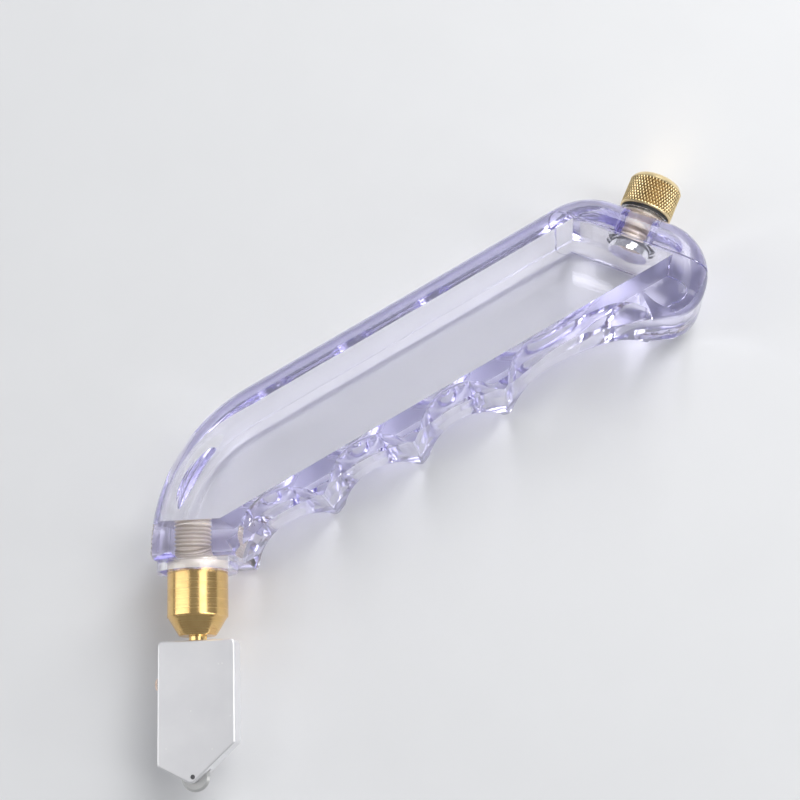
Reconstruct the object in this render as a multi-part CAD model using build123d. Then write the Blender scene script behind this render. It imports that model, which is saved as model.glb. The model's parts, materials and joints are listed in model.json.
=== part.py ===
from build123d import *
import math
import os

# Pistol-grip oil glass cutter, lying on one side of its grip. Millimetres, +Z up.
# Everything is laid out in a drawing frame first: the ferrule's axis is the Y axis, the collar's mouth
# is near y = 0, and the cutting head points along -Y. The last step moves the whole tool to the middle
# of its own footprint.

# Grip
grip_thickness = 22.0
edge_round = 4.6
grip_angle = 27.74          # the handle's rise above X, in degrees
nose_wall_x = -7.15
nose_floor_y = 1.3
nose_floor_round = 1.4
nose_round = 34.0
spine_offset = 24.18        # distance from the drawing origin to the spine, square to the handle
knuckle_offset = -1.8       # the same, for the ridges between the fingers
first_knuckle = 27.9        # distance along the handle
knuckle_pitch = 19.05
knuckle_round = 0.9
finger_radius = 16.4
heel_finger_radius = 31.0
scoop_radius = 9.6
scoop_drop = 6.0            # scoop centres below the handle's base line
scoop_outset = 0.5          # and outside the side faces
scoop_lead = 0.4
heel_scoop_start = (75.3, -6.0)
heel_scoop_end = (88.0, -7.6)
knuckle_bevel = 1.6
nose_corner_x = 9.3
heel_start = (87.0, 41.3)
heel_corner = (94.7, 41.7)
heel_round = 7.0
spare_depth = 7.0           # stock under the ridges, cut away by the finger side
spare_angle = 230.0

# Tail closure and filler, on an axis leaning from +Y towards +X
filler_lean = 25.5
filler_across = 51.15       # from the drawing origin to the filler's axis
seam_height = 87.0          # along the filler's axis
bond_gap = 0.02             # cement film between the grip and its closure
seam_bevel = 0.15           # on the outer edge of both, so the seam shows as a fine groove
closure_top = 93.35
tail_across = 67.75
crown_round = 13.0
tail_round = 10.5
boss_radius = 5.0
boss_height = 2.1
filler_bore_radius = 3.9
filler_thread_radius = 3.83
filler_thread_length = 7.4
filler_root_radius = 3.35
filler_thread_lead_in = 0.5
cap_radius = 5.1
cap_height = 6.9
cap_bevel = 1.0
cap_skirt_bevel = 0.25
seal_thickness = 0.8
seal_radius = 4.7

# Oil reservoir
side_wall = 2.0
nose_wall = 2.4
reservoir_top = 19.98
reservoir_bottom = 4.25
reservoir_floor_y = 8.2
reservoir_round = 26.0

# Nose collar and ferrule
collar_radius = 7.55
collar_mouth_y = -0.2
collar_top_y = 2.0
counterbore_radius = 5.75
counterbore_top_y = 3.3
ferrule_radius = 5.65
ferrule_shoulder_y = 2.5
rim_step = 0.25
gasket_inner_radius = 3.6
gasket_outer_radius = 5.5
ferrule_edge_y = -8.6
ferrule_tip_y = -11.9
ferrule_tip_radius = 3.5
ferrule_thread_radius = 3.5
ferrule_bore_radius = 3.55
ferrule_thread_top_y = 9.2

# Oil valve inside the ferrule
chamber_radius = 2.5
valve_seat_y = -6.5
stem_radius = 1.65
stem_guide_radius = 1.7
stem_flange_radius = 2.4
stem_flange_height = 1.0
valve_seal_height = 0.8
stem_nose_radius = 1.2
stem_nose_height = 3.4
stem_end_y = -23.5
stem_end_bevel = 0.3
stem_groove_radius = 1.15
stem_groove_width = 1.5
oil_channel_radius = 0.35
spring_wire = 0.4
spring_mean_radius = 1.9
spring_turns = 6.5
retainer_y = 3.0
retainer_height = 1.6
retainer_hole_radius = 1.0
retainer_slot_width = 0.8
retainer_slot_depth = 0.6

# Cutting head
head_left_x = -6.95
head_right_x = 7.45
head_top_y = -12.85
head_right_corner_y = -31.4
head_left_corner_y = -35.2
head_thickness = 5.0
head_bevel = 0.35
wheel_x = -0.35
wheel_y = -37.2
head_tip = (-0.55, -38.55)
cheek_radius = 1.2
head_corner_round = 0.8
wheel_radius = 2.65
wheel_width = 1.1
wheel_edge_width = 0.12
wheel_bevel_depth = 0.45
wheel_slot_width = 1.4
wheel_slot_radius = 3.0
axle_radius = 0.42
axle_clearance = 0.03
axle_seat_gap = 0.01
axle_length = 4.6
stem_socket_end_y = -24.0
valve_seat_clearance = 0.5  # between the seat and the end of the stem's oil channel
screw_y = -20.5
screw_head_radius = 1.35
screw_head_height = 0.95
screw_rim_height = 0.33
screw_shoulder_radius = 0.97
screw_shoulder_height = 0.81
screw_flat_radius = 0.47
screw_shank_radius = 0.7
screw_slot_width = 0.35
screw_slot_depth = 0.4
screw_point_gap = 0.08

mid_height = grip_thickness / 2
on_base = (Align.CENTER, Align.CENTER, Align.MIN)
above_floor = (Align.CENTER, Align.MIN, Align.MIN)
overshoot = 5.0             # how far a cutting tool runs past what it cuts
nick = 1.0                  # the same, where there is less room
well_clear = 200.0          # size of a cutting block that only has to be big enough
knuckle_count = 3
flat = 0.01                 # an edge lower than this lies in a level plane


def along_handle(distance, offset):
    """Point at a distance along the handle and an offset square to it."""
    turn = math.radians(grip_angle)
    x = distance * math.cos(turn) - offset * math.sin(turn)
    y = distance * math.sin(turn) + offset * math.cos(turn)
    return (x, y)


def along_filler(height, across):
    """Point at a height along the filler's axis and a distance across it."""
    turn = math.radians(filler_lean)
    x = height * math.sin(turn) + across * math.cos(turn)
    y = height * math.cos(turn) - across * math.sin(turn)
    return (x, y)


def crossing(start_a, direction_a, start_b, direction_b):
    """Where two lines cross, each given by a point and a direction in degrees."""
    ax, ay = math.cos(math.radians(direction_a)), math.sin(math.radians(direction_a))
    bx, by = math.cos(math.radians(direction_b)), math.sin(math.radians(direction_b))
    dx, dy = start_b[0] - start_a[0], start_b[1] - start_a[1]
    reach = (dx * by - dy * bx) / (ax * by - ay * bx)
    return (start_a[0] + reach * ax, start_a[1] + reach * ay)


def rounded(face, corner, radius):
    """The face with its vertex nearest the corner rounded."""
    vertex = face.vertices().sort_by_distance((corner[0], corner[1], 0))[0]
    return fillet(vertex, radius)


def turned(points):
    """Solid of revolution about the Y axis from (radius, y) points."""
    outline = Polyline(*points, close=True)
    return revolve(make_face(outline), Axis.Y)


def ring(inner_radius, outer_radius, low_y, high_y):
    corners = [(inner_radius, low_y), (outer_radius, low_y), (outer_radius, high_y), (inner_radius, high_y)]
    return turned(corners)


def rod(radius, low_y, high_y):
    return ring(0, radius, low_y, high_y)


def on_ferrule(shape):
    """Lift a shape from the drawing plane to the ferrule's axis."""
    return Pos(0, 0, mid_height) * shape


def on_filler(shape):
    """Move a shape drawn about the Y axis to the filler's axis, y = 0 at the closure's flat top."""
    x, y = along_filler(closure_top, filler_across)
    return Pos(x, y, mid_height) * Rot(0, 0, -filler_lean) * shape


def knuckle(number):
    return along_handle(first_knuckle + number * knuckle_pitch, knuckle_offset)


def finger_hollow(start, end, radius):
    """Round tool that cuts one finger hollow between two ridges."""
    half = math.dist(start, end) / 2
    depth = math.sqrt(radius ** 2 - half ** 2)
    away_x, away_y = (end[1] - start[1]) / (2 * half), (start[0] - end[0]) / (2 * half)
    x = (start[0] + end[0]) / 2 + away_x * depth
    y = (start[1] + end[1]) / 2 + away_y * depth
    return Pos(x, y, mid_height) * Cylinder(radius, grip_thickness + 2 * overshoot)


def scoop(start, end):
    """Pair of round-ended tools that thin a finger hollow towards both side faces."""
    (start_x, start_y), (end_x, end_y) = along_handle(*start), along_handle(*end)
    length = math.dist((start_x, start_y), (end_x, end_y))
    tools = []
    for height in (-scoop_outset, grip_thickness + scoop_outset):
        tools.append(Pos(start_x, start_y, height) * Sphere(scoop_radius))
        if length > 0:
            run = Plane(origin=(start_x, start_y, height), z_dir=(end_x - start_x, end_y - start_y, 0))
            tools.append(run * Cylinder(scoop_radius, length, align=on_base))
            tools.append(Pos(end_x, end_y, height) * Sphere(scoop_radius))
    return tools


def beyond_seam(height):
    """Block that fills the space past a plane square to the filler's axis."""
    x, y = along_filler(height, filler_across)
    block = Box(well_clear, well_clear, well_clear, align=above_floor)
    return Pos(x, y, mid_height) * Rot(0, 0, -filler_lean) * Pos(0, 0, -well_clear / 2) * block


def blank_outline():
    """Grip outline with spare material under the finger hollows."""
    spine_start = along_handle(0, spine_offset)
    spine_foot = crossing((nose_wall_x, 0), 90, spine_start, grip_angle)
    crown = crossing(spine_start, grip_angle, along_filler(closure_top, 0), -filler_lean)
    tail_top = along_filler(closure_top, tail_across)
    spare_start = along_handle(0, knuckle_offset - spare_depth)
    spare_right = crossing(heel_start, spare_angle, spare_start, grip_angle)
    spare_left = crossing((0, nose_floor_y), 0, spare_start, grip_angle)
    corners = [(nose_wall_x, nose_floor_y), spine_foot, crown, tail_top, heel_corner, heel_start]
    corners += [spare_right, spare_left]
    face = make_face(Polyline(*corners, close=True))
    face = rounded(face, spine_foot, nose_round)
    face = rounded(face, crown, crown_round)
    face = rounded(face, tail_top, tail_round)
    return rounded(face, heel_corner, heel_round)


def is_level(edge):
    return edge.bounding_box().size.Z < flat


def is_side_rim(edge):
    """True for the edges of both side faces, apart from the nose's flat floor."""
    middle = edge @ 0.5
    return is_level(edge) and middle.Y > nose_floor_y + flat


def is_nose_floor_edge(edge):
    box = edge.bounding_box()
    return box.max.Y < nose_floor_y + flat


def finger_side(form):
    """Cut the underside: four finger hollows between three ridges."""
    ridges = [knuckle(number) for number in range(knuckle_count)]
    below = [(heel_start[0], -grip_thickness), (nose_corner_x, -grip_thickness)]
    corners = [(nose_corner_x, nose_floor_y)] + ridges + [heel_start] + below
    form -= extrude(make_face(Polyline(*corners, close=True)), grip_thickness)
    radii = [finger_radius] * knuckle_count + [heel_finger_radius]
    for start, end, radius in zip(corners, corners[1:], radii):
        form -= finger_hollow(start, end, radius)
    return form


def soften_ridges(form):
    """Round the ridge tips and bevel their ends at both side faces."""
    tips = []
    for number in range(knuckle_count):
        x, y = knuckle(number)
        tips.append(form.edges().filter_by(Axis.Z).sort_by_distance((x, y, mid_height))[0])
    form = fillet(tips, knuckle_round)
    length = knuckle_pitch * (knuckle_count + 1)
    bar_side = knuckle_bevel * math.sqrt(2)
    bar = Rot(45, 0, 0) * Box(length, bar_side, bar_side)
    for height in (0, grip_thickness):
        x, y = along_handle(first_knuckle + knuckle_pitch, knuckle_offset)
        form -= Pos(x, y, height) * Rot(0, 0, grip_angle) * bar
    return form


def scooped(form):
    for number in range(knuckle_count):
        middle = first_knuckle + (number - 0.5) * knuckle_pitch + scoop_lead
        for tool in scoop((middle, -scoop_drop), (middle, -scoop_drop)):
            form -= tool
    for tool in scoop(heel_scoop_start, heel_scoop_end):
        form -= tool
    return form


def reservoir():
    """Oil space: a straight slot whose front end bends down to follow the nose."""
    depth = grip_thickness - 2 * side_wall
    front_x = nose_wall_x + nose_wall
    near_top, far_top = along_handle(-well_clear, reservoir_top), along_handle(well_clear, reservoir_top)
    near_low, far_low = along_handle(-well_clear, reservoir_bottom), along_handle(well_clear, reservoir_bottom)
    front_top = crossing((front_x, 0), 90, far_top, grip_angle)
    front_low, back_low = (front_x, -well_clear), (well_clear, -well_clear)
    front = make_face(Polyline(front_low, front_top, far_top, back_low, close=True))
    front = rounded(front, front_top, reservoir_round)
    slot = make_face(Polyline(near_top, far_top, far_low, near_low, close=True))
    above = Pos(0, reservoir_floor_y, 0) * Box(2 * well_clear, well_clear, depth, align=above_floor)
    return Pos(0, 0, side_wall) * (extrude(front, depth) & extrude(slot, depth) & above)


def grip_form():
    """Outer shape of the grip and its closure together."""
    form = extrude(blank_outline(), grip_thickness)
    form = fillet(form.edges().filter_by(is_side_rim), edge_round)
    form = fillet(form.edges().filter_by(is_nose_floor_edge), nose_floor_round)
    form = finger_side(form)
    form = soften_ridges(form)
    return scooped(form)


def seam_bevelled(solid, height):
    """Bevel the outer edge of the face that lies on the seam."""
    x, y = along_filler(height, filler_across)
    turn = math.radians(filler_lean)
    seam = Plane(origin=(x, y, mid_height), z_dir=(math.sin(turn), math.cos(turn), 0))
    face = solid.faces().filter_by(seam).sort_by_distance((x, y, mid_height))[0]
    return chamfer(face.outer_wire().edges(), seam_bevel)


def make_grip_body(form):
    body = seam_bevelled(form - beyond_seam(seam_height), seam_height)
    body += on_ferrule(rod(collar_radius, collar_mouth_y, collar_top_y))
    body -= reservoir()
    body -= on_ferrule(rod(counterbore_radius, collar_mouth_y - nick, counterbore_top_y))
    return body - on_ferrule(rod(ferrule_bore_radius, collar_mouth_y, reservoir_floor_y + nick))


def make_tail_closure(form):
    foot = seam_height + bond_gap
    closure = seam_bevelled(form & beyond_seam(foot), foot)
    closure += on_filler(rod(boss_radius, -nick, boss_height))
    return closure - on_filler(rod(filler_bore_radius, foot - closure_top - nick, boss_height + nick))


def make_filler_seal():
    return on_filler(ring(filler_bore_radius, seal_radius, boss_height, boss_height + seal_thickness))


def make_filler_cap():
    base = boss_height + seal_thickness
    top = base + cap_height
    end = base - filler_thread_length
    outline = [(0, end), (filler_root_radius, end)]
    outline += [(filler_thread_radius, end + filler_thread_lead_in), (filler_thread_radius, base)]
    outline += [(cap_radius - cap_skirt_bevel, base), (cap_radius, base + cap_skirt_bevel)]
    outline += [(cap_radius, top - cap_bevel), (cap_radius - cap_bevel / 2, top), (0, top)]
    return on_filler(turned(outline))


def make_ferrule():
    outline = [(stem_guide_radius, ferrule_tip_y), (ferrule_tip_radius, ferrule_tip_y)]
    outline += [(ferrule_radius - rim_step, ferrule_edge_y), (ferrule_radius, ferrule_edge_y + rim_step)]
    outline += [(ferrule_radius, ferrule_shoulder_y), (ferrule_thread_radius, ferrule_shoulder_y)]
    outline += [(ferrule_thread_radius, ferrule_thread_top_y), (chamber_radius, ferrule_thread_top_y)]
    outline += [(chamber_radius, valve_seat_y), (stem_guide_radius, valve_seat_y)]
    return on_ferrule(turned(outline))


def make_ferrule_seal():
    return on_ferrule(ring(gasket_inner_radius, gasket_outer_radius, ferrule_shoulder_y, counterbore_top_y))


def make_valve_seal():
    return on_ferrule(ring(stem_radius, stem_flange_radius, valve_seat_y, valve_seat_y + valve_seal_height))


def make_valve_stem():
    """Plunger with a flange that closes on the seat, an oil channel and a groove for the head's screw."""
    flange_y = valve_seat_y + valve_seal_height
    flange_top_y = flange_y + stem_flange_height
    low_groove_y = screw_y - stem_groove_width / 2
    high_groove_y = screw_y + stem_groove_width / 2
    outline = [(0, stem_end_y), (stem_radius - stem_end_bevel, stem_end_y)]
    outline += [(stem_radius, stem_end_y + stem_end_bevel)]
    outline += [(stem_radius, low_groove_y), (stem_groove_radius, low_groove_y)]
    outline += [(stem_groove_radius, high_groove_y), (stem_radius, high_groove_y), (stem_radius, flange_y)]
    outline += [(stem_flange_radius, flange_y), (stem_flange_radius, flange_top_y)]
    outline += [(stem_nose_radius, flange_top_y), (stem_nose_radius, flange_top_y + stem_nose_height)]
    outline += [(0, flange_top_y + stem_nose_height)]
    stem = turned(outline)
    channel = rod(oil_channel_radius, stem_end_y - nick, valve_seat_y - valve_seat_clearance)
    return on_ferrule(stem - Pos(stem_radius, 0, 0) * channel)


def make_valve_spring():
    low_y = valve_seat_y + valve_seal_height + stem_flange_height + spring_wire / 2
    high_y = retainer_y - spring_wire / 2
    height = high_y - low_y
    path = Helix(pitch=height / spring_turns, height=height, radius=spring_mean_radius)
    wire = Plane(origin=path @ 0, z_dir=path % 0) * Circle(spring_wire / 2)
    coil = sweep(wire, path)
    return on_ferrule(Pos(0, low_y, 0) * Rot(-90, 0, 0) * coil)


def make_spring_retainer():
    disc = ring(retainer_hole_radius, chamber_radius, retainer_y, retainer_y + retainer_height)
    slot_y = retainer_y + retainer_height
    slot = Pos(0, slot_y, 0) * Box(2 * chamber_radius, 2 * retainer_slot_depth, retainer_slot_width)
    return on_ferrule(disc - slot)


def make_cutting_head():
    corners = [(head_left_x, head_top_y), (head_right_x, head_top_y), (head_right_x, head_right_corner_y)]
    corners += [head_tip, (head_left_x, head_left_corner_y)]
    face = make_face(Polyline(*corners, close=True))
    face = rounded(face, head_tip, cheek_radius)
    for corner in corners[:3] + corners[4:]:
        face = rounded(face, corner, head_corner_round)
    head = Pos(0, 0, mid_height - head_thickness / 2) * extrude(face, head_thickness)
    rims = head.edges().filter_by(is_level)
    head = fillet(rims, head_bevel)
    head -= Pos(wheel_x, wheel_y, mid_height) * Cylinder(wheel_slot_radius, wheel_slot_width)
    head -= Pos(wheel_x, wheel_y, mid_height) * Cylinder(axle_radius + axle_seat_gap, 2 * head_thickness)
    head -= on_ferrule(rod(stem_guide_radius, stem_socket_end_y, head_top_y + nick))
    head -= on_ferrule(rod(oil_channel_radius, wheel_y, stem_socket_end_y + nick))
    hole = Cylinder(screw_shank_radius + axle_seat_gap, nick - head_left_x, align=on_base)
    return head - Pos(head_left_x - nick, screw_y, mid_height) * Rot(0, 90, 0) * hole


def make_head_screw():
    """Round-headed screw in the head's left edge; its point runs in the stem's groove."""
    reach = -head_left_x - stem_groove_radius - screw_point_gap
    outline = [(0, reach), (screw_shank_radius, reach), (screw_shank_radius, 0), (screw_head_radius, 0)]
    outline += [(screw_head_radius, -screw_rim_height), (screw_shoulder_radius, -screw_shoulder_height)]
    outline += [(screw_flat_radius, -screw_head_height), (0, -screw_head_height)]
    screw = turned(outline)
    slot = Box(4 * screw_head_radius, 2 * screw_slot_depth, screw_slot_width)
    screw -= Pos(0, -screw_head_height, 0) * slot
    return Pos(head_left_x, screw_y, mid_height) * Rot(0, 0, -90) * screw


def make_wheel_axle():
    return Pos(wheel_x, wheel_y, mid_height) * Cylinder(axle_radius, axle_length)


def make_cutting_wheel():
    half, edge_half = wheel_width / 2, wheel_edge_width / 2
    land = wheel_radius - wheel_bevel_depth
    bore = axle_radius + axle_clearance
    outline = [(bore, -half), (land, -half), (wheel_radius, -edge_half), (wheel_radius, edge_half)]
    outline += [(land, half), (bore, half)]
    wheel = turned(outline)
    return Pos(wheel_x, wheel_y, mid_height) * Rot(90, 0, 0) * wheel


def build_parts():
    form = grip_form()
    return {
        "grip_body": make_grip_body(form),
        "tail_closure": make_tail_closure(form),
        "filler_seal": make_filler_seal(),
        "filler_cap": make_filler_cap(),
        "ferrule": make_ferrule(),
        "ferrule_seal": make_ferrule_seal(),
        "valve_seal": make_valve_seal(),
        "valve_stem": make_valve_stem(),
        "valve_spring": make_valve_spring(),
        "spring_retainer": make_spring_retainer(),
        "cutting_head": make_cutting_head(),
        "head_screw": make_head_screw(),
        "wheel_axle": make_wheel_axle(),
        "cutting_wheel": make_cutting_wheel(),
    }


def footprint_centre(shapes):
    """Middle of the whole tool's bounding box, seen from above."""
    boxes = [shape.bounding_box() for shape in shapes]
    low_x, high_x = min(box.min.X for box in boxes), max(box.max.X for box in boxes)
    low_y, high_y = min(box.min.Y for box in boxes), max(box.max.Y for box in boxes)
    return ((low_x + high_x) / 2, (low_y + high_y) / 2)


os.makedirs("parts", exist_ok=True)
parts = build_parts()
centre_x, centre_y = footprint_centre(parts.values())
for name, shape in parts.items():
    export_step(Pos(-centre_x, -centre_y, 0) * shape, f"parts/{name}.step")

filler_x, filler_y = along_filler(closure_top, filler_across)
print("drawing origin in the finished frame", round(-centre_x, 4), round(-centre_y, 4))
print("wheel centre", round(wheel_x - centre_x, 4), round(wheel_y - centre_y, 4), mid_height)
print("filler axis point", round(filler_x - centre_x, 4), round(filler_y - centre_y, 4), mid_height)
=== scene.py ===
import json
import math

import bpy
from mathutils import Matrix, Vector


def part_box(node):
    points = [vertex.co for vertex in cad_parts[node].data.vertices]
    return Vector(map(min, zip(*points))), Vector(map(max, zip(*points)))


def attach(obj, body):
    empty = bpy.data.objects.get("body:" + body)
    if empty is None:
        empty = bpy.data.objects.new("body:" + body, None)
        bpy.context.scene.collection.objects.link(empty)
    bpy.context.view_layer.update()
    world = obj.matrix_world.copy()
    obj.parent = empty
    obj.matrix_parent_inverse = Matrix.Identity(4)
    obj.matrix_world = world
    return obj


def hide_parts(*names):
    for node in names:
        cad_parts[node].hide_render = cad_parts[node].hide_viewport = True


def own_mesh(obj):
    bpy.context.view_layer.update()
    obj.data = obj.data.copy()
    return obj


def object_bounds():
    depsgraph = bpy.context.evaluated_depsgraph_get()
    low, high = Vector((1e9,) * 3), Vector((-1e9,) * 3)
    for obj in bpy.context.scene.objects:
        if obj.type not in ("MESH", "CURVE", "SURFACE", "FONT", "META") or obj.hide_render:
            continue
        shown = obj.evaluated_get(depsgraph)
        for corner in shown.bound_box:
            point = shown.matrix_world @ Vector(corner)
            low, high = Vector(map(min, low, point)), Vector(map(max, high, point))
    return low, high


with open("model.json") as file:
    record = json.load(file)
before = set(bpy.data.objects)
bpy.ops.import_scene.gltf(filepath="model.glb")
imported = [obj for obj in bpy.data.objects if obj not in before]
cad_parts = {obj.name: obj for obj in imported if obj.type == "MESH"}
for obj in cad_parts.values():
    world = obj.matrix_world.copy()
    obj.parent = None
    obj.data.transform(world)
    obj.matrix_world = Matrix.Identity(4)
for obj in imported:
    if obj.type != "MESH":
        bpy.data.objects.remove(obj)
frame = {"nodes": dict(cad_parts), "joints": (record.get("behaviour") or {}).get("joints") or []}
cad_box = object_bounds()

# Clear pistol-grip oil glass cutter. Metres, in the CAD model's frame.
# Turned pieces are built along their own +Y axis, from outlines of (radius, height) in millimetres.

MM = 0.001
TAU = 2 * math.pi

# Places read from the frame
ferrule_low, ferrule_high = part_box("ferrule")
spring_low, spring_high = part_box("valve_spring")
axle_low, axle_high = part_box("wheel_axle")
joints = {joint["name"]: joint for joint in frame["joints"]}
filler_top = Vector(joints["cap_turn"]["pos_m"])
filler_axis = Vector(joints["cap_turn"]["axis"])
ferrule_x = (ferrule_low.x + ferrule_high.x) / 2
mid_z = (ferrule_low.z + ferrule_high.z) / 2

# Sizes in millimetres that the frame's boxes don't give
THREAD_TOP = 9.2            # ferrule heights are from the drawing origin, near the collar's mouth
COLLAR_MOUTH = -0.2
SHOULDER = 2.5
RECESS_TOP = 3.3
BARREL_EDGE = -8.6
TIP = -11.9
BARREL_RADIUS = 5.65
TIP_RADIUS = 3.5
THREAD_RADIUS = 3.5
GUIDE_RADIUS = 1.7
CHAMBER_RADIUS = 2.5
VALVE_SEAT = -6.5
FERRULE_PITCH = 0.75
FERRULE_THREAD_DEPTH = 0.42

CAP_BASE = 2.9              # cap heights are from the closure's flat top
CAP_HEIGHT = 6.9
CAP_RADIUS = 5.1
SHANK_LENGTH = 7.4
SHANK_RADIUS = 3.83
SHANK_ROOT = 3.35
CAP_PITCH = 1.0
CAP_THREAD_DEPTH = 0.45
KNURL_STARTS = 48
KNURL_DEPTH = 0.27
KNURL_ANGLE = math.radians(31)

GRIP_ANGLE = math.radians(27.74)
CLOSURE_THICKNESS = 6.35 * MM
MOUTH_HEIGHTS = (4.25 * MM, 19.98 * MM)     # the reservoir's two long walls, square to the handle
MOUTH_DEPTHS = (2 * MM, 20 * MM)            # and its side walls
BORE_RADIUS = 3.55 * MM
CONTACT_MARGIN = 0.05 * MM                  # how far from a cemented or wetted face still counts as on it
ACRYLIC_IOR = 1.49
CONTACT_IOR = 1.001                         # of a face in full contact, which light crosses unchanged

drawing_origin = Vector((ferrule_x, ferrule_high.y - THREAD_TOP * MM, 0))
seam_point = filler_top - filler_axis * CLOSURE_THICKNESS

# Where a turned piece's own axis and height 0 go: the drawing origin, and the closure's flat top
ferrule_place = Matrix.Translation((ferrule_x, drawing_origin.y, mid_z))
filler_turn = Vector((0, 1, 0)).rotation_difference(filler_axis).to_matrix().to_4x4()
filler_place = Matrix.Translation(filler_top) @ filler_turn


# ---------------------------------------------------------------- node helpers

class Nodes:
    """A material's node tree with short calls for the nodes this scene uses."""

    def __init__(self, name):
        self.material = bpy.data.materials.new(name)
        self.material.use_nodes = True
        self.tree = self.material.node_tree
        self.shader = self.tree.nodes["Principled BSDF"]
        self.output = self.tree.nodes["Material Output"]

    def add(self, kind, **settings):
        node = self.tree.nodes.new(kind)
        for key, value in settings.items():
            setattr(node, key, value)
        return node

    def link(self, source, target):
        self.tree.links.new(source, target)

    def put(self, socket, value):
        if isinstance(value, bpy.types.NodeSocket):
            self.link(value, socket)
        else:
            socket.default_value = value

    def set(self, **values):
        for key, value in values.items():
            self.put(self.shader.inputs[key.replace("_", " ")], value)

    def coords(self, kind="Object"):
        return self.add("ShaderNodeTexCoord").outputs[kind]

    def axis(self, vector, letter):
        node = self.add("ShaderNodeSeparateXYZ")
        self.link(vector, node.inputs[0])
        return node.outputs[letter]

    def math(self, operation, first, second=0.0, third=0.0):
        node = self.add("ShaderNodeMath", operation=operation)
        for socket, value in zip(node.inputs, (first, second, third)):
            self.put(socket, value)
        return node.outputs[0]

    def minus(self, vector, point):
        node = self.add("ShaderNodeVectorMath", operation="SUBTRACT")
        self.link(vector, node.inputs[0])
        node.inputs[1].default_value = point
        return node.outputs[0]

    def dot(self, vector, direction):
        node = self.add("ShaderNodeVectorMath", operation="DOT_PRODUCT")
        self.link(vector, node.inputs[0])
        node.inputs[1].default_value = direction
        return node.outputs["Value"]

    def stretched(self, vector, scale):
        node = self.add("ShaderNodeMapping")
        self.link(vector, node.inputs["Vector"])
        node.inputs["Scale"].default_value = scale
        return node.outputs[0]

    def noise(self, vector, scale, detail=3.0, roughness=0.5):
        node = self.add("ShaderNodeTexNoise")
        self.link(vector, node.inputs["Vector"])
        node.inputs["Scale"].default_value = scale
        node.inputs["Detail"].default_value = detail
        node.inputs["Roughness"].default_value = roughness
        return node.outputs["Fac"]

    def line_noise(self, value, scale, detail=3.0):
        """Noise that changes along one coordinate only."""
        node = self.add("ShaderNodeTexNoise", noise_dimensions="1D")
        self.link(value, node.inputs["W"])
        node.inputs["Scale"].default_value = scale
        node.inputs["Detail"].default_value = detail
        return node.outputs["Fac"]

    def specks(self, vector, scale, size, share, dimensions="3D"):
        """1 inside scattered round specks, 0 elsewhere. share is how many cells hold one."""
        node = self.add("ShaderNodeTexVoronoi", voronoi_dimensions=dimensions)
        self.link(vector, node.inputs["Vector"])
        node.inputs["Scale"].default_value = scale
        near = self.math("LESS_THAN", node.outputs["Distance"], size)
        chosen = self.math("LESS_THAN", self.axis(node.outputs["Color"], "Z"), share)
        return self.math("MULTIPLY", near, chosen)

    def spread(self, value, low, high, start=0.0, end=1.0):
        node = self.add("ShaderNodeMapRange")
        self.link(value, node.inputs["Value"])
        node.inputs["From Min"].default_value = start
        node.inputs["From Max"].default_value = end
        node.inputs["To Min"].default_value = low
        node.inputs["To Max"].default_value = high
        return node.outputs[0]

    def blend(self, share, first, second):
        node = self.add("ShaderNodeMix", data_type="RGBA")
        self.put(node.inputs[0], share)
        self.put(node.inputs[6], first)
        self.put(node.inputs[7], second)
        return node.outputs[2]

    def bump(self, height, distance, strength=1.0, under=None):
        node = self.add("ShaderNodeBump")
        node.inputs["Strength"].default_value = strength
        node.inputs["Distance"].default_value = distance
        self.link(height, node.inputs["Height"])
        if under is not None:
            self.link(under, node.inputs["Normal"])
        return node.outputs[0]


# ---------------------------------------------------------------- materials

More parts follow.
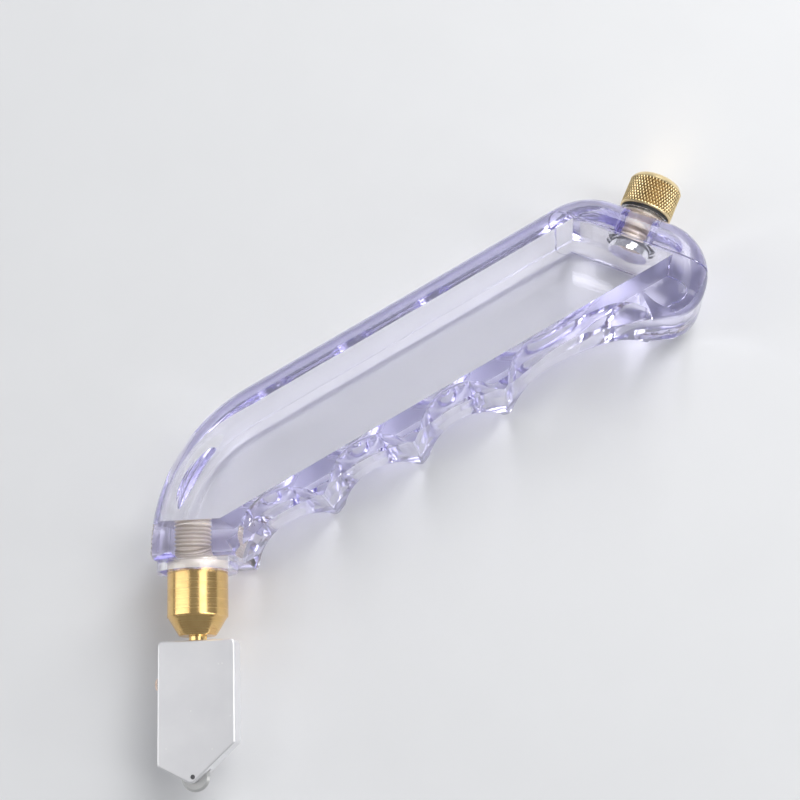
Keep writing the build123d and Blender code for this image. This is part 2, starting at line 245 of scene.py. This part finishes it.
def acrylic():
    """Clear cast acrylic, violet where it is thick. The cemented faces of the seam and the oil-wet bore
    round the ferrule's thread neither bend nor mirror light."""
    nodes = Nodes("clear_acrylic")
    place = nodes.coords()
    smudge = nodes.noise(place, 90, 4.0)
    along = nodes.stretched(place, (35, 260, 60))
    scratch = nodes.spread(nodes.noise(along, 22, 2.0), 0.0, 1.0, 0.66, 0.72)
    ripple = nodes.noise(place, 140, 1.0)
    rough = nodes.math("MULTIPLY_ADD", scratch, 0.05, nodes.spread(smudge, 0.0, 0.035, 0.42, 0.75))

    from_seam = nodes.math("ABSOLUTE", nodes.dot(nodes.minus(place, seam_point), filler_axis))
    on_seam = nodes.math("LESS_THAN", from_seam, CONTACT_MARGIN)
    facing = nodes.math("ABSOLUTE", nodes.dot(nodes.coords("Normal"), filler_axis))
    on_seam = nodes.math("MULTIPLY", on_seam, nodes.math("GREATER_THAN", facing, 0.99))

    square_to_grip = (-math.sin(GRIP_ANGLE), math.cos(GRIP_ANGLE), 0)
    height = nodes.dot(nodes.minus(place, drawing_origin), square_to_grip)
    depth = nodes.axis(place, "Z")
    inside = nodes.math("GREATER_THAN", height, MOUTH_HEIGHTS[0])
    for test in (
        nodes.math("LESS_THAN", height, MOUTH_HEIGHTS[1]),
        nodes.math("GREATER_THAN", depth, MOUTH_DEPTHS[0]),
        nodes.math("LESS_THAN", depth, MOUTH_DEPTHS[1]),
    ):
        inside = nodes.math("MULTIPLY", inside, test)
    cemented = nodes.math("MULTIPLY", on_seam, nodes.math("SUBTRACT", 1.0, inside))

    across = nodes.math("SUBTRACT", nodes.axis(place, "X"), ferrule_x)
    over = nodes.math("SUBTRACT", depth, mid_z)
    squares = nodes.math("MULTIPLY_ADD", across, across, nodes.math("MULTIPLY", over, over))
    wet = nodes.math("LESS_THAN", squares, (BORE_RADIUS + CONTACT_MARGIN) ** 2)
    free = nodes.math("SUBTRACT", 1.0, nodes.math("MAXIMUM", cemented, wet))

    nodes.set(
        Base_Color=(0.997, 0.997, 1.0, 1),
        Transmission_Weight=1.0,
        Roughness=nodes.math("MULTIPLY", rough, free),
        IOR=nodes.math("MULTIPLY_ADD", free, ACRYLIC_IOR - CONTACT_IOR, CONTACT_IOR),
        Normal=nodes.bump(scratch, 0.004 * MM, 0.5, nodes.bump(ripple, 0.02 * MM, 0.35)),
    )
    tint = nodes.add("ShaderNodeVolumeAbsorption")
    tint.inputs["Color"].default_value = (0.62, 0.58, 0.95, 1)
    tint.inputs["Density"].default_value = 21.0
    nodes.link(tint.outputs[0], nodes.output.inputs["Volume"])
    return nodes.material


def turned_metal(
    name, colour, dark, roughness, axis="Y", mark=0.0012, specks=0.0, groove=None, pale=None
):
    """Metal turned about one axis: fine tool rings, faint tarnish and a few dull specks.

    groove: the two depths in millimetres between which painted shade darkens the grooves, and how much.
    pale: a height in millimetres, the side of it that sits inside the acrylic (1 above, -1 below), and the
    painted lighter colour the metal gets there, which stands in for light, where it is also dull.
    """
    nodes = Nodes(name)
    place = nodes.coords()
    along = nodes.axis(place, axis)
    rings = nodes.line_noise(along, 5200, 4.0)
    broad = nodes.line_noise(along, 900, 2.0)
    tarnish = nodes.noise(place, 420, 5.0, 0.6)
    colours = nodes.blend(nodes.spread(tarnish, 0.0, 0.55, 0.45, 0.8), (*colour, 1), (*dark, 1))
    if specks:
        spot = nodes.specks(place, 1500, 0.16, specks)
        colours = nodes.blend(nodes.math("MULTIPLY", spot, 0.7), colours, (*dark, 1))
    rough = nodes.spread(rings, roughness * 0.7, roughness * 1.35, 0.3, 0.7)
    metallic, groove_shade_share = 1.0, 1.0
    if pale:
        height, side, painted_pale_colour = pale
        painted_pale_darker = [part * 0.9 for part in painted_pale_colour]
        # painted light: inside the acrylic the base colour is painted lighter and paler, and the metal is
        # also made dull and less metallic
        dull_and_painted_pale = nodes.math("GREATER_THAN", nodes.math("MULTIPLY", along, side), height * side * MM)
        colours = nodes.blend(dull_and_painted_pale, colours, nodes.blend(tarnish, (*painted_pale_colour, 1), (*painted_pale_darker, 1)))
        rough = nodes.math("MAXIMUM", rough, nodes.math("MULTIPLY", dull_and_painted_pale, 0.48))
        metallic = groove_shade_share = nodes.math("MULTIPLY_ADD", dull_and_painted_pale, -0.6, 1.0)
    # painted shade: thread and knurl grooves get a darker base colour, deeper ones more, up to the given
    # amount
    if groove:
        start, end, most = groove
        deep = nodes.add("ShaderNodeAttribute", attribute_name="groove").outputs["Fac"]
        painted_groove_shade = nodes.math("MULTIPLY", nodes.spread(deep, 0.0, most, start, end), groove_shade_share)
        colours = nodes.blend(painted_groove_shade, colours, (dark[0] * 0.28, dark[1] * 0.22, dark[2] * 0.16, 1))
    nodes.set(
        Base_Color=colours,
        Metallic=metallic,
        Roughness=rough,
        Normal=nodes.bump(rings, mark * MM, 0.6, nodes.bump(broad, 2 * mark * MM, 0.4)),
    )
    return nodes.material


def head_finish():
    """Silver anodised aluminium: fine blasted grain, faint milling and a few bright specks."""
    nodes = Nodes("head_finish")
    place = nodes.coords()
    grain = nodes.noise(place, 9000, 2.0)
    milling = nodes.line_noise(nodes.axis(place, "X"), 1400, 3.0)
    cloud = nodes.noise(place, 160, 3.0)
    specks = nodes.specks(place, 520, 0.085, 0.1, "2D")
    cloudy = nodes.spread(cloud, 0.0, 1.0, 0.35, 0.7)
    base = nodes.blend(cloudy, (0.90, 0.895, 0.915, 1), (0.94, 0.935, 0.95, 1))
    nodes.set(
        Base_Color=nodes.blend(specks, base, (1.0, 1.0, 1.0, 1)),
        Metallic=0.85,
        Roughness=nodes.spread(grain, 0.34, 0.46, 0.3, 0.7),
        Normal=nodes.bump(grain, 0.012 * MM, 0.5, nodes.bump(milling, 0.002 * MM, 0.4)),
    )
    return nodes.material


def carbide():
    """Ground tungsten carbide, with grinding lines round the wheel's axle."""
    nodes = Nodes("carbide")
    length = nodes.add("ShaderNodeVectorMath", operation="LENGTH")
    nodes.link(nodes.minus(nodes.coords(), (axle_low + axle_high) / 2), length.inputs[0])
    rings = nodes.line_noise(length.outputs["Value"], 7000, 3.0)
    grain = nodes.noise(nodes.coords(), 7000, 2.0)
    nodes.set(
        Base_Color=nodes.blend(grain, (0.60, 0.60, 0.59, 1), (0.72, 0.72, 0.71, 1)),
        Metallic=0.9,
        Roughness=nodes.spread(rings, 0.34, 0.5, 0.3, 0.7),
        Normal=nodes.bump(rings, 0.001 * MM, 0.5),
    )
    return nodes.material


def rubber():
    nodes = Nodes("black_rubber")
    place = nodes.coords()
    grain = nodes.noise(place, 5000, 3.0)
    dust = nodes.spread(nodes.noise(place, 700, 4.0), 0.0, 0.25, 0.55, 0.8)
    nodes.set(
        Base_Color=nodes.blend(dust, (0.018, 0.018, 0.019, 1), (0.09, 0.09, 0.09, 1)),
        Roughness=nodes.spread(grain, 0.5, 0.72),
        Normal=nodes.bump(grain, 0.01 * MM, 0.5),
    )
    return nodes.material


def clear_washer():
    """Natural nylon, milky, with turned rings."""
    nodes = Nodes("clear_washer")
    place = nodes.coords()
    rings = nodes.line_noise(nodes.axis(place, "Y"), 3000)
    milk = nodes.noise(place, 600, 3.0)
    nodes.set(
        Base_Color=nodes.blend(milk, (0.88, 0.80, 0.66, 1), (0.93, 0.89, 0.80, 1)),
        Transmission_Weight=0.55,
        Roughness=nodes.spread(rings, 0.25, 0.4),
        Normal=nodes.bump(rings, 0.004 * MM, 0.5),
    )
    return nodes.material


# ---------------------------------------------------------------- mesh helpers

def link_mesh(name, points, faces, material, smooth=True):
    mesh = bpy.data.meshes.new(name)
    mesh.from_pydata(points, [], faces)
    mesh.polygons.foreach_set("use_smooth", [smooth] * len(mesh.polygons))
    mesh.materials.append(material)
    mesh.update()
    piece = bpy.data.objects.new(name, mesh)
    bpy.context.scene.collection.objects.link(piece)
    return piece


def divided(outline, step):
    """The outline's points, with long runs divided so that no part is longer than step."""
    points = [outline[0]]
    for (r0, y0), (r1, y1) in zip(outline, outline[1:]):
        parts = max(1, math.ceil(math.dist((r0, y0), (r1, y1)) / step - 1e-6))
        for part in range(1, parts + 1):
            share = part / parts
            points.append((r0 + (r1 - r0) * share, y0 + (y1 - y0) * share))
    return points


def lathe(name, outline, columns, relief, material, hollow=False):
    """Closed mesh turned about +Y. relief(radius, height, turn) gives each point its own radius, and how
    far that lies below the outline is kept as the attribute groove, in millimetres."""
    points, faces, grooves = [], [], []
    rows = outline if hollow else outline[1:-1]
    for radius, height in rows:
        for column in range(columns):
            turn = TAU * column / columns
            reach = relief(radius, height, turn)
            grooves.append(radius - reach)
            points.append((reach * MM * math.cos(turn), height * MM, reach * MM * math.sin(turn)))
    last = len(rows) if hollow else len(rows) - 1
    for row in range(last):
        above = (row + 1) % len(rows)
        for column in range(columns):
            beside = (column + 1) % columns
            a, b = row * columns + column, row * columns + beside
            c, d = above * columns + beside, above * columns + column
            faces.append((a, d, c, b))
    if not hollow:
        for height, row, order in ((outline[0][1], 0, 1), (outline[-1][1], len(rows) - 1, -1)):
            centre = len(points)
            points.append((0, height * MM, 0))
            grooves.append(0.0)
            for column in range(columns):
                a, b = row * columns + column, row * columns + (column + 1) % columns
                faces.append((centre, a, b)[::order])
    piece = link_mesh(name, points, faces, material)
    piece.data.attributes.new("groove", "FLOAT", "POINT").data.foreach_set("value", grooves)
    return piece


def sharpened(piece, degrees):
    """Keep edges steeper than an angle crisp in the shading."""
    mesh = piece.data
    mesh.set_sharp_from_angle(angle=math.radians(degrees))
    return piece


def saw(value):
    """Triangle wave: 0 at whole numbers, 1 half way between them."""
    return 1 - abs(2 * (value % 1.0) - 1)


def fade(value, low, high, width):
    """1 between low and high, falling to 0 over a width at each end."""
    return max(0.0, min(1.0, (value - low) / width, (high - value) / width))


# ---------------------------------------------------------------- pieces

def make_filler_cap(material):
    """Diamond-knurled cap on its threaded shank."""
    base, top = CAP_BASE, CAP_BASE + CAP_HEIGHT
    foot = base - SHANK_LENGTH
    knurl_low, knurl_high = base + 0.35, top - 1.15
    slope = KNURL_STARTS * math.tan(KNURL_ANGLE) / (TAU * CAP_RADIUS)
    shank = divided([(SHANK_RADIUS, foot + 0.5), (SHANK_RADIUS, base - 0.25)], CAP_PITCH / 14)
    body = divided([(CAP_RADIUS, knurl_low), (CAP_RADIUS, knurl_high)], 1 / slope / 9)
    outline = [(0, foot), (SHANK_ROOT - 0.3, foot), (SHANK_ROOT, foot + 0.1)] + shank
    outline += [(SHANK_ROOT, base), (4.5, base)]
    outline += [(CAP_RADIUS - 0.25, base), (CAP_RADIUS - 0.05, base + 0.18)]
    outline += body
    outline += [(CAP_RADIUS - 0.12, top - 0.95), (CAP_RADIUS - 0.3, top - 0.6)]
    outline += [(CAP_RADIUS - 0.62, top - 0.22), (CAP_RADIUS - 0.9, top - 0.04), (CAP_RADIUS - 1.1, top)]
    outline += [(3.0, top), (2.9, top - 0.05), (1.2, top - 0.05), (0, top - 0.05)]

    def relief(radius, height, turn):
        if radius == SHANK_RADIUS:
            groove = max(0.0, 1 - 1.25 * saw(height / CAP_PITCH - turn / TAU))
            return radius - CAP_THREAD_DEPTH * groove
        if radius == CAP_RADIUS:
            left = saw(KNURL_STARTS * turn / TAU + slope * height)
            right = saw(KNURL_STARTS * turn / TAU - slope * height)
            tooth = min(1.0, 1.5 * min(left, right))
            cut = KNURL_DEPTH * (1 - tooth) * fade(height, knurl_low, knurl_high, 0.15)
            return radius - cut - 0.02
        return radius

    piece = lathe("knurled_filler_cap", outline, KNURL_STARTS * 8, relief, material)
    piece.matrix_world = filler_place
    return sharpened(piece, 38)


def make_ferrule(material):
    """Brass ferrule with its thread, polished barrel and cone."""
    thread_low, thread_high = RECESS_TOP - 0.1, THREAD_TOP - 0.25
    thread = divided([(THREAD_RADIUS, thread_low), (THREAD_RADIUS, thread_high)], FERRULE_PITCH / 14)
    neck_radius = THREAD_RADIUS - 0.45
    barrel = [(GUIDE_RADIUS, TIP + 0.1), (GUIDE_RADIUS + 0.1, TIP), (TIP_RADIUS - 0.15, TIP)]
    barrel += [(TIP_RADIUS, TIP + 0.12), (TIP_RADIUS + 0.75, TIP + 1.28)]
    barrel += [(BARREL_RADIUS - 0.55, BARREL_EDGE - 0.55), (BARREL_RADIUS - 0.3, BARREL_EDGE - 0.2)]
    barrel += [(BARREL_RADIUS - 0.22, BARREL_EDGE), (BARREL_RADIUS - 0.06, BARREL_EDGE + 0.08)]
    barrel += [(BARREL_RADIUS, BARREL_EDGE + 0.25), (BARREL_RADIUS, SHOULDER - 0.2)]
    barrel += [(BARREL_RADIUS - 0.2, SHOULDER), (neck_radius, SHOULDER), (neck_radius, RECESS_TOP - 0.15)]
    outline = divided(barrel, 0.3) + thread
    outline += [(THREAD_RADIUS - 0.3, THREAD_TOP), (CHAMBER_RADIUS + 0.1, THREAD_TOP)]
    outline += [(CHAMBER_RADIUS, THREAD_TOP - 0.1), (CHAMBER_RADIUS, VALVE_SEAT), (GUIDE_RADIUS, VALVE_SEAT)]
    heights = {height for _, height in thread}

    def relief(radius, height, turn):
        if radius == THREAD_RADIUS and height in heights:
            groove = max(0.0, 1 - 1.25 * saw(height / FERRULE_PITCH - turn / TAU))
            return radius - FERRULE_THREAD_DEPTH * groove
        return radius

    piece = lathe("turned_ferrule", outline, 128, relief, material, hollow=True)
    piece.matrix_world = ferrule_place
    return sharpened(piece, 30)


def make_spring(material):
    """Coil spring with closed ends, between the plunger's flange and the retainer."""
    wire, turns, sides, steps = 0.2 * MM, 8.0, 14, 36
    mean = (spring_high.x - spring_low.x) / 2 - wire
    low, high = spring_low.y + wire, spring_high.y - wire
    closed = 2.2 * wire
    points, faces = [], []
    count = int(turns * steps)
    for step in range(count + 1):
        travel = step / steps
        if travel < 1:
            y = low + closed * travel
        elif travel > turns - 1:
            y = high - closed * (turns - travel)
        else:
            y = low + closed + (high - low - 2 * closed) * (travel - 1) / (turns - 2)
        turn = TAU * travel
        out = Vector((math.cos(turn), 0, math.sin(turn)))
        centre = Vector((ferrule_x, y, mid_z)) + out * mean
        for side in range(sides):
            angle = TAU * side / sides
            lift = Vector((0, wire * math.sin(angle), 0))
            points.append(centre + out * (wire * math.cos(angle)) + lift)
    for step in range(count):
        for side in range(sides):
            beside = (side + 1) % sides
            a, b = step * sides + side, step * sides + beside
            faces.append((a, b, b + sides, a + sides))
    faces.append(tuple(range(sides))[::-1])
    faces.append(tuple(count * sides + side for side in range(sides)))
    return link_mesh("coil_spring", points, faces, material)


# ---------------------------------------------------------------- build

clear = acrylic()
# groove settings paint shade into the grooves; pale settings paint a lighter colour where the metal sits
# inside the acrylic
polished = turned_metal(
    "polished_brass", (0.84, 0.57, 0.24), (0.58, 0.34, 0.12), 0.21,
    groove=(0.1, 0.42, 0.8), pale=(COLLAR_MOUTH, 1, (0.97, 0.90, 0.76)),
)
knurled = turned_metal(
    "knurled_brass", (0.94, 0.76, 0.43), (0.70, 0.48, 0.20), 0.3, mark=0.0001, specks=0.08,
    groove=(0.06, 0.22, 0.92), pale=(CAP_BASE - 0.05, -1, (0.96, 0.85, 0.70)),
)
valve_brass = turned_metal("valve_brass", (0.84, 0.60, 0.26), (0.58, 0.36, 0.13), 0.2)
copper = turned_metal("copper_screw", (0.97, 0.77, 0.65), (0.85, 0.55, 0.40), 0.24, axis="X")
drawn_wire = turned_metal("spring_steel", (0.62, 0.62, 0.61), (0.45, 0.44, 0.43), 0.25)
pin_steel = turned_metal("axle_steel", (0.16, 0.16, 0.165), (0.10, 0.10, 0.10), 0.35, axis="Z")
seal_rubber = rubber()

finishes = {
    "grip_body": clear,
    "tail_closure": clear,
    "filler_seal": seal_rubber,
    "ferrule_seal": clear_washer(),
    "valve_seal": seal_rubber,
    "valve_stem": valve_brass,
    "spring_retainer": valve_brass,
    "cutting_head": head_finish(),
    "head_screw": copper,
    "wheel_axle": pin_steel,
    "cutting_wheel": carbide(),
}
for node, finish in finishes.items():
    frame["nodes"][node].data.materials.clear()
    frame["nodes"][node].data.materials.append(finish)

cap = make_filler_cap(knurled)
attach(cap, "cap")
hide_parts("filler_cap")

ferrule = make_ferrule(polished)
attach(ferrule, "grip")
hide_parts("ferrule")

spring = make_spring(drawn_wire)
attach(spring, "grip")
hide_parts("valve_spring")
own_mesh(spring)


# ---------------------------------------------------------------- studio

def make_floor():
    nodes = Nodes("pale_floor")
    grain = nodes.noise(nodes.coords(), 60, 4.0)
    nodes.set(
        Base_Color=nodes.blend(grain, (0.74, 0.745, 0.755, 1), (0.77, 0.775, 0.785, 1)),
        Roughness=0.55,
    )
    side = 3.0
    corners = [(-side, -side, 0), (side, -side, 0), (side, side, 0), (-side, side, 0)]
    floor = link_mesh("floor", corners, [(0, 1, 2, 3)], nodes.material, smooth=False)
    floor.location.z = cad_box[0].z - 0.02 * MM


def make_softbox(name, place, size, power):
    """Area light that faces the tool."""
    data = bpy.data.lights.new(name, "AREA")
    data.shape = "RECTANGLE"
    data.size, data.size_y = size
    data.energy = power
    lamp = bpy.data.objects.new(name, data)
    bpy.context.scene.collection.objects.link(lamp)
    lamp.location = place
    lamp.rotation_mode = "QUATERNION"
    lamp.rotation_quaternion = (Vector((0, 0, 0.01)) - Vector(place)).to_track_quat("-Z", "Y")


def make_camera():
    data = bpy.data.cameras.new("camera")
    data.lens = 67.5
    data.sensor_width = 36.0
    data.clip_start = 0.005
    camera = bpy.data.objects.new("camera", data)
    bpy.context.scene.collection.objects.link(camera)
    right = Vector((0.99358833, -0.0338089, -0.10788503))
    up = Vector((0.05962516, 0.96744631, 0.24595219))
    back = Vector((0.0960576, -0.25080789, 0.96325923))
    turn = Matrix((right, up, back)).transposed().to_4x4()
    camera.matrix_world = Matrix.Translation((0.021527, -0.057115, 0.285)) @ turn
    bpy.context.scene.camera = camera


make_floor()
make_softbox("overhead", (0.40, 0.66, 0.62), (0.6, 0.6), 6.0)
make_softbox("right_key", (0.34, 0.12, 0.62), (0.6, 0.34), 1.3)
make_softbox("left_strip", (-0.50, 0.00, 0.42), (0.16, 0.7), 0.7)
make_softbox("right_strip", (0.50, -0.16, 0.36), (0.12, 0.6), 0.8)
world = bpy.data.worlds.new("studio")
bpy.context.scene.world = world
world.use_nodes = True
world.node_tree.nodes["Background"].inputs["Color"].default_value = (0.50, 0.51, 0.53, 1)
world.node_tree.nodes["Background"].inputs["Strength"].default_value = 0.58
bpy.context.scene.view_settings.view_transform = "Standard"
light_paths = bpy.context.scene.cycles
light_paths.blur_glossy = 0.0       # or the acrylic blurs and darkens the floor under it
light_paths.max_bounces = 32        # or light caught inside the thick acrylic turns black
light_paths.glossy_bounces = 32
light_paths.transmission_bounces = 32
make_camera()
